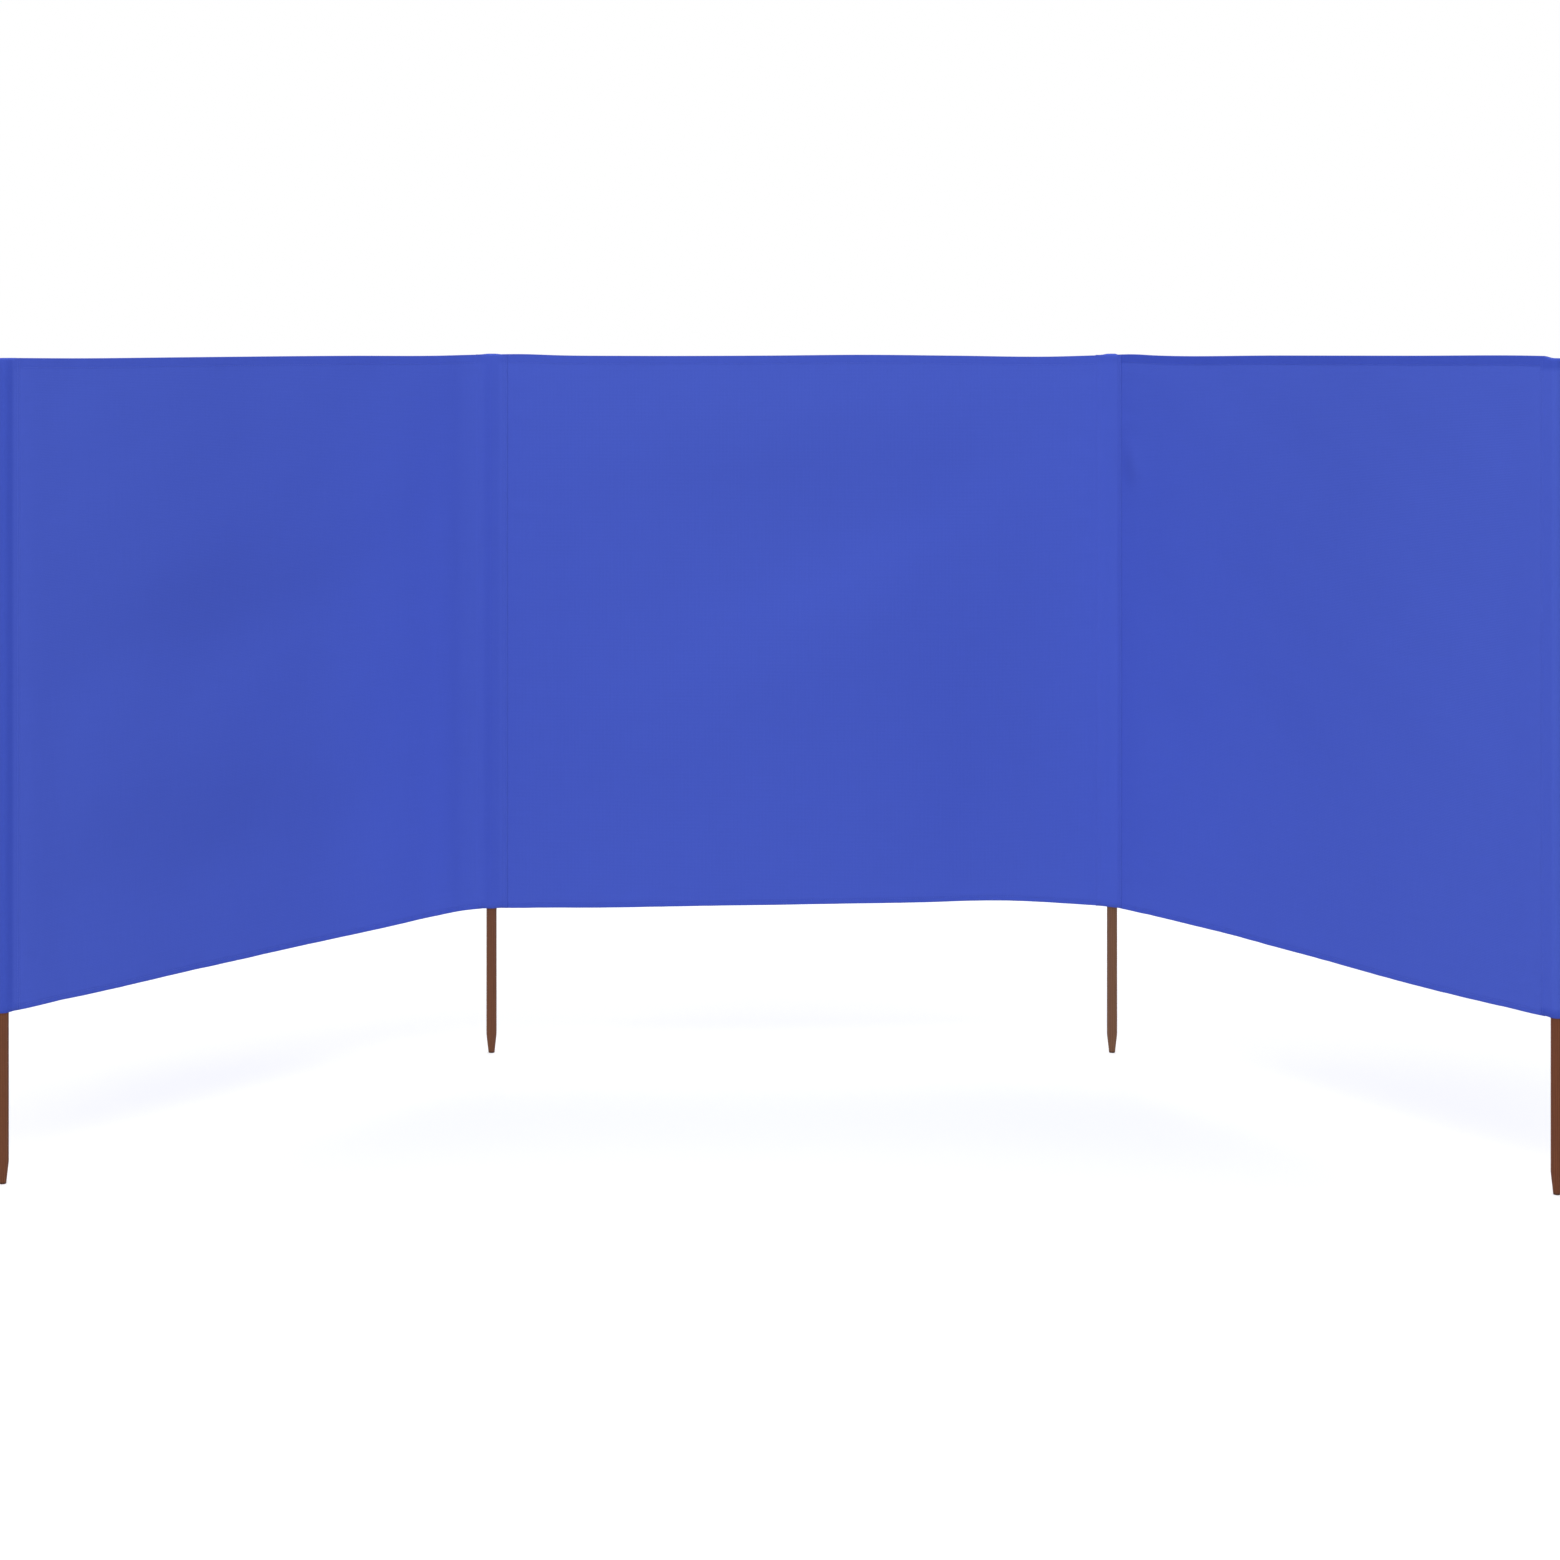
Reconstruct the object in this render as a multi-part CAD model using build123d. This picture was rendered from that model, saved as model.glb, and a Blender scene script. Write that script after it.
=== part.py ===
"""Fabric windbreak: three bays of cloth on four round wooden poles.

Millimetres, +Z up. The origin is the middle of the left inner pole's blunt foot. +X runs along the back bay
to the right inner pole, and both wings come forward, towards -Y. Every bay is drawn from left to right, so
the outside of the cloth, where its hems are turned, is always on the left of its plan line.
"""

import os
from dataclasses import dataclass

from build123d import *

# Poles
POLE_LENGTH = 1500.0
POLE_DIAMETER = 22.0
POLE_TOP_ROUND = 3.0
TIP_LENGTH = 40.0
FOOT_DIAMETER = 13.0
BARE_POLE = 310.0

# Where the poles stand, with the wings' angles from the line of the back bay
BAY_WIDTH = 1333.0
LEFT_WING_DEGREES = 53.6
RIGHT_WING_DEGREES = 59.4

# Cloth
CLOTH_THICKNESS = 1.2
TOP_HEM_DEPTH = 20.0
BOTTOM_HEM_DEPTH = 12.0
HEM_THICKNESS = 1.2

# How the cloth bellies between its poles: where along the bay, how far out, and how sharp the bend is
BACK_BELLY_SHARE = 0.8
BACK_BELLY_DEPTH = 50.0
BACK_BELLY_RADIUS = 900.0
RIGHT_BELLY_SHARE = 0.4
RIGHT_BELLY_DEPTH = 22.0
RIGHT_BELLY_RADIUS = 6000.0
LEFT_KNEE_REACH = 60.0
LEFT_KNEE_DEGREES = 18.0
LEFT_KNEE_RADIUS = 100.0

# Pole sleeves: a strip of cloth round the pole, with both ends sewn over the edge of the bay's cloth
SLEEVE_THICKNESS = 1.2
SLEEVE_CLEARANCE = 0.3
SEAM_REACH = 24.0
SEAM_WIDTH = 12.0
TURNING_CLEARANCE = 0.3
HEM_END_CLEARANCE = 0.5

POLE_RADIUS = POLE_DIAMETER / 2
SLEEVE_BORE_RADIUS = POLE_RADIUS + SLEEVE_CLEARANCE
SLEEVE_RADIUS = SLEEVE_BORE_RADIUS + SLEEVE_THICKNESS
CLOTH_BOTTOM = BARE_POLE
CLOTH_TOP = POLE_LENGTH - POLE_TOP_ROUND
SLEEVE_TOP = POLE_LENGTH + SLEEVE_CLEARANCE + SLEEVE_THICKNESS
TOP_HEM_LOW = CLOTH_TOP - TOP_HEM_DEPTH
BOTTOM_HEM_HIGH = CLOTH_BOTTOM + BOTTOM_HEM_DEPTH

SEWN_GAP = SEAM_REACH
TURNING_GAP = SLEEVE_RADIUS + TURNING_CLEARANCE
HEM_GAP = SEAM_REACH + SEAM_WIDTH + HEM_END_CLEARANCE

# The two poles of any bay, in the bay's own frame
LEFT_POLE = Vector(0, 0)
RIGHT_POLE = Vector(BAY_WIDTH, 0)

# From the left wing's right pole to its knee: the cloth comes forward by a small angle first, then by the wing's
LEFT_KNEE = Vector(-LEFT_KNEE_REACH, 0).rotate(Axis.Z, LEFT_KNEE_DEGREES - LEFT_WING_DEGREES)


@dataclass(frozen=True)
class Bay:
    """One bay of cloth, drawn in its own frame: x from its left pole to its right one and y to the outside.

    The plan line runs straight from each pole to the bend, which is rounded. A sewn end is held in the seam
    of a sleeve that belongs to this bay, and any other end turns round the sleeve of the next bay.
    """

    name: str
    location: Location
    bend: Vector
    bend_radius: float
    left_is_sewn: bool
    right_is_sewn: bool

    def plan_line(self, sewn_gap: float, outward: float) -> Wire:
        """A line parallel to the cloth's middle in plan, at a gap from the pole of each sewn end.

        Every bay bends to the right on its way, so a line further out has the larger radius.
        """
        left_gap = sewn_gap if self.left_is_sewn else TURNING_GAP
        right_gap = sewn_gap if self.right_is_sewn else TURNING_GAP
        before = (self.bend - LEFT_POLE).normalized()
        after = (RIGHT_POLE - self.bend).normalized()
        out_before = before.rotate(Axis.Z, 90)
        out_after = after.rotate(Axis.Z, 90)
        start = LEFT_POLE + before * left_gap + out_before * outward
        corner = self.bend + (out_before + out_after) * (outward / (1 + out_before.dot(out_after)))
        end = RIGHT_POLE - after * right_gap + out_after * outward
        return FilletPolyline(start, corner, end, radius=self.bend_radius + outward)

    def pole_location(self, pole: Vector) -> Location:
        """Where one of the bay's poles stands, with the location's own x towards the bay's cloth."""
        towards = Vector(1, 0).get_signed_angle(self.bend - pole, Vector(0, 0, 1))
        return self.location * Pos(pole) * Rot(0, 0, towards)


BACK = Bay(
    name="back",
    location=Location(),
    bend=Vector(BAY_WIDTH * BACK_BELLY_SHARE, BACK_BELLY_DEPTH),
    bend_radius=BACK_BELLY_RADIUS,
    left_is_sewn=True,
    right_is_sewn=True,
)
LEFT_WING = Bay(
    name="left_wing",
    location=Rot(0, 0, LEFT_WING_DEGREES) * Pos(-RIGHT_POLE),
    bend=RIGHT_POLE + LEFT_KNEE,
    bend_radius=LEFT_KNEE_RADIUS,
    left_is_sewn=True,
    right_is_sewn=False,
)
RIGHT_WING = Bay(
    name="right_wing",
    location=Pos(RIGHT_POLE) * Rot(0, 0, -RIGHT_WING_DEGREES),
    bend=Vector(BAY_WIDTH * RIGHT_BELLY_SHARE, RIGHT_BELLY_DEPTH),
    bend_radius=RIGHT_BELLY_RADIUS,
    left_is_sewn=False,
    right_is_sewn=True,
)

# Each pole stands where its sleeve is sewn to a bay
POLE_LOCATIONS = {
    "left_end": LEFT_WING.pole_location(LEFT_POLE),
    "left_inner": BACK.pole_location(LEFT_POLE),
    "right_inner": BACK.pole_location(RIGHT_POLE),
    "right_end": RIGHT_WING.pole_location(RIGHT_POLE),
}


def turned_pole() -> Part:
    """A round pole with a softened top and a tapered, blunt foot, standing on the origin."""
    with BuildPart() as pole:
        with BuildSketch(Plane.XZ):
            with BuildLine():
                foot = Line((0, 0), (FOOT_DIAMETER / 2, 0))
                taper = Line(foot @ 1, (POLE_RADIUS, TIP_LENGTH))
                side = Line(taper @ 1, (POLE_RADIUS, CLOTH_TOP))
                shoulder = TangentArc(side @ 1, (POLE_RADIUS - POLE_TOP_ROUND, POLE_LENGTH), tangent=side % 1)
                Polyline(shoulder @ 1, (0, POLE_LENGTH), foot @ 0)
            make_face()
        revolve(axis=Axis.Z)
    return pole.part


def loop_outline(radius: float, half_seam: float) -> Sketch:
    """A drop-shaped loop: round the pole, then straight to the seam line on its +X side."""
    seam = Line((SEAM_REACH, -half_seam), (SEAM_REACH, half_seam))
    return make_hull([*Circle(radius).edges(), seam])


def sleeve() -> Part:
    """The strip round a pole, whose two ends lie on both faces of the bay's cloth along the seam."""
    half_cloth = CLOTH_THICKNESS / 2
    half_seam = half_cloth + SLEEVE_THICKNESS
    seam_middle = Pos(SEAM_REACH + SEAM_WIDTH / 2, 0)
    outside = loop_outline(SLEEVE_RADIUS, half_seam)
    outside += seam_middle * Rectangle(SEAM_WIDTH, half_seam * 2)
    inside = loop_outline(SLEEVE_BORE_RADIUS, half_cloth)
    inside += seam_middle * Rectangle(SEAM_WIDTH, CLOTH_THICKNESS)
    return Pos(0, 0, CLOTH_BOTTOM) * extrude(outside - inside, CLOTH_TOP - CLOTH_BOTTOM)


def sleeve_top() -> Part:
    """The cloth folded over the pole's end, which closes the sleeve."""
    half_seam = CLOTH_THICKNESS / 2 + SLEEVE_THICKNESS
    fold = Pos(0, 0, CLOTH_TOP) * extrude(loop_outline(SLEEVE_RADIUS, half_seam), SLEEVE_TOP - CLOTH_TOP)
    fold = fillet(fold.faces().sort_by(Axis.Z)[-1].edges(), half_seam)
    return fold - offset_pole_end()


def offset_pole_end() -> Part:
    """The pole's rounded end, larger all round by the sleeve's clearance."""
    end_height = POLE_TOP_ROUND + SLEEVE_CLEARANCE
    end = Pos(0, 0, CLOTH_TOP) * extrude(Circle(SLEEVE_BORE_RADIUS), end_height)
    return fillet(end.faces().sort_by(Axis.Z)[-1].edges(), POLE_TOP_ROUND)


def ribbon(bay: Bay, sewn_gap: float, inner: float, outer: float, low: float, high: float) -> Part:
    """An upright strip along a bay, between two distances out from the cloth's middle and two heights."""
    inner_line = bay.plan_line(sewn_gap, inner)
    outer_line = bay.plan_line(sewn_gap, outer)
    ends = [Line(inner_line @ 0, outer_line @ 0), Line(inner_line @ 1, outer_line @ 1)]
    plan = make_face([*inner_line.edges(), *outer_line.edges(), *ends])
    return Pos(0, 0, low) * extrude(plan, high - low)


def bay_cloth(bay: Bay) -> Part:
    """The bay's sheet, between its two seams."""
    return ribbon(bay, SEWN_GAP, -CLOTH_THICKNESS / 2, CLOTH_THICKNESS / 2, CLOTH_BOTTOM, CLOTH_TOP)


def hem(bay: Bay, low: float, high: float) -> Part:
    """The turned-back cloth of a hem between two heights, on the sheet's outside, clear of the sewn seams."""
    inner = CLOTH_THICKNESS / 2
    return ribbon(bay, HEM_GAP, inner, inner + HEM_THICKNESS, low, high)


def build_nodes() -> dict[str, Part]:
    """Every piece of the windbreak, by its name."""
    nodes = {}
    for name, location in POLE_LOCATIONS.items():
        nodes[f"{name}_pole"] = location * turned_pole()
        nodes[f"{name}_sleeve"] = location * sleeve()
        nodes[f"{name}_sleeve_top"] = location * sleeve_top()
    for bay in (LEFT_WING, BACK, RIGHT_WING):
        nodes[f"{bay.name}_cloth"] = bay.location * bay_cloth(bay)
        nodes[f"{bay.name}_top_hem"] = bay.location * hem(bay, TOP_HEM_LOW, CLOTH_TOP)
        nodes[f"{bay.name}_bottom_hem"] = bay.location * hem(bay, CLOTH_BOTTOM, BOTTOM_HEM_HIGH)
    return nodes


def main() -> None:
    """Writes one file for each piece."""
    os.makedirs("parts", exist_ok=True)
    for name, piece in build_nodes().items():
        export_step(piece, f"parts/{name}.step")


if __name__ == "__main__":
    main()
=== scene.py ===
"""Looks of the fabric windbreak: three bays of blue cloth sewn round four brown-stained wooden poles.

Metres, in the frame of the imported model: +Z is up, the origin is the foot of the left inner pole, +X runs
along the back bay, and both wings come forward, towards -Y. Every bay is drawn from left to right, so its
outside, where the hems are turned, is on the left of its plan line.
"""

import logging
import math
from dataclasses import dataclass
from enum import Enum
from functools import cached_property
from typing import Any

import bmesh
import bpy
import numpy as np
from bpy.types import ID, Material, Mesh, NodeSocket, NodeTree, Object, World
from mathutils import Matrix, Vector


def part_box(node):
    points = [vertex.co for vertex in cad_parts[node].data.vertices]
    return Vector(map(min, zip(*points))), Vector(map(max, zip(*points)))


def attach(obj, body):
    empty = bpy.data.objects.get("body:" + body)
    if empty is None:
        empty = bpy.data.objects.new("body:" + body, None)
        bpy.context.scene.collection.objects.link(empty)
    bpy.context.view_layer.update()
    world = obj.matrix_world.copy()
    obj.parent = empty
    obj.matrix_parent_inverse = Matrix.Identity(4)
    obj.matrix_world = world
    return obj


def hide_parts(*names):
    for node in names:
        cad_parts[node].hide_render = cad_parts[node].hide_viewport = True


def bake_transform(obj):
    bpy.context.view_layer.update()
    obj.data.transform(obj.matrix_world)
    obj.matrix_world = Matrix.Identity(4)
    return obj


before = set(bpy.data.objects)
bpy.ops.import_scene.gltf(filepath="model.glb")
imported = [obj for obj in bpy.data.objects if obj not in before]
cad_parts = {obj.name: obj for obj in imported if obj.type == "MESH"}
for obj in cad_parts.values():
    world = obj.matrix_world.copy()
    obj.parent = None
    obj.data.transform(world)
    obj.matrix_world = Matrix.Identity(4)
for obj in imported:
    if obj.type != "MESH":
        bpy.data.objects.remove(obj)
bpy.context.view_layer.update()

MM = 0.001
WHITE = "#FFFFFF"
# A band wave of scale 1 repeats every tenth of pi
BAND_REPEAT = math.pi / 10
LOG = logging.getLogger("windbreak")


class Face(Enum):
    """The two faces of the screen. The front is the sheltered one, which the photograph shows."""

    FRONT = "front"
    REAR = "rear"


class Edge(Enum):
    """The two hemmed edges of a bay."""

    BOTTOM = "bottom"
    TOP = "top"


class Slot(Enum):
    """The record's material slots."""

    CLOTH = "blue_cloth"
    WOOD = "stained_wood"


def linear(hex_colour: str, brightness: float = 1.0) -> tuple[float, float, float, float]:
    """Turns an sRGB hex colour into the linear colour that a shader takes.

    Args:
        hex_colour: Six hex digits after a hash sign.
        brightness: What the linear colour is multiplied by.

    Returns:
        Red, green and blue, and an alpha of one.
    """
    channels = [int(hex_colour[place : place + 2], 16) / 255 for place in (1, 3, 5)]
    # The numbers are those of the sRGB curve
    curved = [c / 12.92 if c <= 0.04045 else ((c + 0.055) / 1.055) ** 2.4 for c in channels]
    return (curved[0] * brightness, curved[1] * brightness, curved[2] * brightness, 1.0)


def ease(value: np.ndarray) -> np.ndarray:
    """A smooth step from 0 to 1 as the value goes from 0 to 1."""
    inside = np.clip(value, 0, 1)
    return inside * inside * (3 - 2 * inside)


def unit(vectors: np.ndarray) -> np.ndarray:
    """The directions of some vectors, whose coordinates are along the last axis."""
    return vectors / np.linalg.norm(vectors, axis=-1, keepdims=True)


def turned_left(direction: np.ndarray) -> np.ndarray:
    """A direction in plan, turned a quarter to the left."""
    return np.array([-direction[1], direction[0]])


def pole_place(name: str) -> np.ndarray:
    """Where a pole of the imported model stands, seen from above."""
    low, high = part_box(f"{name}_pole")
    return np.array([(low.x + high.x) / 2, (low.y + high.y) / 2])


def add_object(name: str, data: ID) -> Object:
    """Puts a mesh, a lamp or a camera in the scene.

    Args:
        name: The new object's name.
        data: The mesh, lamp or camera.

    Returns:
        The object.
    """
    item = bpy.data.objects.new(name, data)
    bpy.context.scene.collection.objects.link(item)
    return item


def grid_mesh(name: str, grids: list[np.ndarray], closed: bool = False) -> Mesh:
    """Makes one smooth mesh from grids of points, with a face between every four neighbours.

    Args:
        name: The mesh's name.
        grids: Arrays of rows, columns and three coordinates.
        closed: Whether the last column joins the first.

    Returns:
        The mesh, with its points in the order of the grids.
    """
    points = np.concatenate([grid.reshape(-1, 3) for grid in grids])
    faces = []
    first = 0
    for grid in grids:
        rows, columns = grid.shape[:2]
        index = first + np.arange(rows * columns).reshape(rows, columns)
        if closed:
            index = np.concatenate([index, index[:, :1]], axis=1)
        corners = [index[:-1, :-1], index[:-1, 1:], index[1:, 1:], index[1:, :-1]]
        faces.append(np.stack(corners, axis=-1).reshape(-1, 4))
        first += rows * columns
    mesh = bpy.data.meshes.new(name)
    mesh.from_pydata(points.tolist(), [], np.concatenate(faces).tolist())
    mesh.shade_smooth()
    return mesh


def paint(mesh: Mesh, name: str, values: np.ndarray) -> None:
    """Stores a number or a vector on every point of a mesh, for a material to read.

    Args:
        mesh: The mesh.
        name: The attribute's name.
        values: One number, or three, for each point.
    """
    is_vector = values.ndim == 2
    attribute = mesh.attributes.new(name, "FLOAT_VECTOR" if is_vector else "FLOAT", "POINT")
    attribute.data.foreach_set("vector" if is_vector else "value", values.astype(np.float32).ravel())


def new_piece(mesh: Mesh, material: Material, slot: Slot) -> Object:
    """Puts a mesh in the scene as a piece with its finish.

    Args:
        mesh: The piece's mesh, whose name the piece takes.
        material: Its material.
        slot: The record's slot that the finish belongs to; it is not used.

    Returns:
        The piece.
    """
    piece = add_object(mesh.name, mesh)
    mesh.materials.append(material)
    return piece


def thicken(piece: Object, thickness: float) -> None:
    """Gives a cloth piece its thickness, half to each side, in its mesh.

    Args:
        piece: The piece, an open surface.
        thickness: How thick the cloth is.
    """
    piece.modifiers.new("cloth thickness", "SOLIDIFY").thickness = thickness
    piece.modifiers[0].offset = 0
    graph = bpy.context.evaluated_depsgraph_get()
    solid = piece.evaluated_get(graph)
    thick = bpy.data.meshes.new_from_object(solid, preserve_all_data_layers=True, depsgraph=graph)
    piece.modifiers.clear()
    thin = piece.data
    name = thin.name
    piece.data = thick
    bpy.data.meshes.remove(thin)
    thick.name = name


def report(piece: Object) -> None:
    """Logs a piece that is done, with its number of triangles."""
    triangles = sum(len(face.vertices) - 2 for face in piece.data.polygons)
    LOG.info("%s: %d triangles", piece.name, triangles)


def add_node(tree: NodeTree, kind: str, inputs: dict[Any, Any] | None = None, **settings: Any) -> Any:
    """Adds a node with its settings, its plain input values and its links.

    Args:
        tree: The node tree that gets the node.
        kind: Blender's name of the node type, less the ShaderNode that it starts with.
        inputs: What goes into each input, by its name or number: a value, or a socket to link from.
        **settings: The node's own settings.

    Returns:
        The new node's outputs.
    """
    node = tree.nodes.new(f"ShaderNode{kind}")
    for name, value in settings.items():
        setattr(node, name, value)
    for socket, value in (inputs or {}).items():
        if isinstance(value, NodeSocket):
            tree.links.new(value, node.inputs[socket])
        else:
            node.inputs[socket].default_value = value
    return node.outputs


def new_tree(owner: Material | World) -> NodeTree:
    """Gives a material, or the surroundings, a node tree with nothing in it.

    Args:
        owner: The material or the surroundings.

    Returns:
        The tree.
    """
    owner.use_nodes = True
    owner.node_tree.nodes.clear()
    return owner.node_tree


def seen_rays(tree: NodeTree) -> NodeSocket:
    """Finds the rays that show a background, directly or in a shiny or clear surface.

    Args:
        tree: The tree that gets the nodes.

    Returns:
        A socket that is 1 for those rays and 0 for the light on the object.
    """
    path = add_node(tree, "LightPath")
    seen = path["Is Camera Ray"]
    for kind in ("Is Glossy Ray", "Is Transmission Ray"):
        seen = add_node(tree, "Math", {0: seen, 1: path[kind]}, operation="MAXIMUM")[0]
    return seen


@dataclass(frozen=True)
class PolyesterCanvas:
    """Plain-woven polyester canvas, dyed in the piece and left matt.

    The eye gets one royal blue with no gloss, faintly streaked where a thread runs thick. Soft patches of
    painted light and shade lie over it, and painted shade darkens it a little where two plies lie together,
    for the daylight that one ply lets through and two don't, along the hems' folds and round the poles.
    """

    name: str = "matt plain-woven polyester canvas"
    colour: str = "#4458BB"
    painted_shade_colour: str = "#3B4FB2"
    streak_contrast: float = 0.05
    streak_length: float = 90 * MM
    streak_width: float = 2.5 * MM
    # The real thread spacing is about 0.5 mm, too fine to show here, so the weave is six times as coarse
    thread_spacing: float = 3 * MM
    weave_depth: float = 0.25 * MM
    weave_strength: float = 0.5
    matt_roughness: float = 0.92
    worn_roughness: float = 0.78
    gloss: float = 0.1

    def build(self) -> Material:
        """Makes the material from the weave's own coordinates, which every cloth piece carries.

        Returns:
            The material.
        """
        material = bpy.data.materials.new(self.name)
        tree = new_tree(material)
        place = add_node(tree, "Attribute", attribute_name="weave_at")["Vector"]
        # Painted shade for two plies, the hems' folds and the cloth round the poles
        painted_shade = add_node(tree, "Attribute", attribute_name="painted_shade")["Fac"]
        # Soft patches of painted light and shade
        painted_light_and_shade = add_node(tree, "Attribute", attribute_name="painted_light_and_shade")["Fac"]
        threads = []
        for axis in ("X", "Y"):
            inputs = {"Vector": place, "Scale": BAND_REPEAT / self.thread_spacing}
            threads.append(add_node(tree, "TexWave", inputs, bands_direction=axis)["Fac"])
        weave = add_node(tree, "Math", {0: threads[0], 1: threads[1]}, operation="MULTIPLY")[0]
        level = (1 / self.streak_length, 1 / self.streak_width, 1.0)
        upright = (1 / self.streak_width, 1 / self.streak_length, 1.0)
        streaks = []
        for scale in (level, upright):
            stretched = add_node(tree, "VectorMath", {0: place, 1: scale}, operation="MULTIPLY")[0]
            inputs = {"Vector": stretched, "Scale": 1.0, "Detail": 3.0}
            streaks.append(add_node(tree, "TexNoise", inputs)["Fac"])
        inputs = {"Factor": 0.5, "A": streaks[0], "B": streaks[1]}
        streak = add_node(tree, "Mix", inputs, data_type="FLOAT")[0]
        tones = []
        # The second colour is the painted shade colour, not a second dye
        for dye_or_shade in (self.colour, self.painted_shade_colour):
            dark = linear(dye_or_shade, 1 - self.streak_contrast)
            light = linear(dye_or_shade, 1 + self.streak_contrast)
            tones.append(add_node(tree, "Mix", {0: streak, 6: dark, 7: light}, data_type="RGBA")[2])
        even = add_node(tree, "Mix", {0: painted_shade, 6: tones[0], 7: tones[1]}, data_type="RGBA")[2]
        # The painted light and shade multiplies the colour
        colour = add_node(tree, "VectorMath", {0: even, "Scale": painted_light_and_shade}, operation="SCALE")[0]
        inputs = {"Value": streak, "To Min": self.matt_roughness, "To Max": self.worn_roughness}
        roughness = add_node(tree, "MapRange", inputs)[0]
        inputs = {"Strength": self.weave_strength, "Distance": self.weave_depth, "Height": weave}
        bump = add_node(tree, "Bump", inputs)[0]
        inputs = {"Base Color": colour, "Roughness": roughness, "Normal": bump}
        inputs |= {"Specular IOR Level": self.gloss}
        shader = add_node(tree, "BsdfPrincipled", inputs)[0]
        add_node(tree, "OutputMaterial", {"Surface": shader})
        return material


@dataclass(frozen=True)
class PolyesterThread:
    """Twisted polyester sewing thread, dyed to go with the cloth.

    The eye gets small raised dashes a shade lighter than the cloth, with a soft shine along the twist,
    and with painted shade in the twist's grooves and painted highlight on its raised plies.
    """

    name: str = "twisted polyester sewing thread"
    colour: str = "#4A60C4"
    contrast: float = 0.15
    twist_pitch: float = 0.8 * MM
    twist_depth: float = 0.05 * MM
    twist_strength: float = 0.5
    sunk_roughness: float = 0.7
    raised_roughness: float = 0.5
    gloss: float = 0.35

    def build(self) -> Material:
        """Makes the material, with the plies of the thread as a fine slanting bump.

        Returns:
            The material.
        """
        material = bpy.data.materials.new(self.name)
        tree = new_tree(material)
        place = add_node(tree, "TexCoord")["Object"]
        inputs = {"Vector": place, "Scale": BAND_REPEAT / self.twist_pitch}
        twist = add_node(tree, "TexWave", inputs, bands_direction="DIAGONAL")["Fac"]
        # The colour follows the bump: painted shade in the sunk grooves, painted highlight on the raised
        # plies
        dark = linear(self.colour, 1 - self.contrast)
        light = linear(self.colour, 1 + self.contrast)
        colour = add_node(tree, "Mix", {0: twist, 6: dark, 7: light}, data_type="RGBA")[2]
        inputs = {"Value": twist, "To Min": self.sunk_roughness, "To Max": self.raised_roughness}
        roughness = add_node(tree, "MapRange", inputs)[0]
        inputs = {"Strength": self.twist_strength, "Distance": self.twist_depth, "Height": twist}
        bump = add_node(tree, "Bump", inputs)[0]
        inputs = {"Base Color": colour, "Roughness": roughness, "Normal": bump}
        inputs |= {"Specular IOR Level": self.gloss}
        shader = add_node(tree, "BsdfPrincipled", inputs)[0]
        add_node(tree, "OutputMaterial", {"Surface": shader})
        return material


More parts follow.
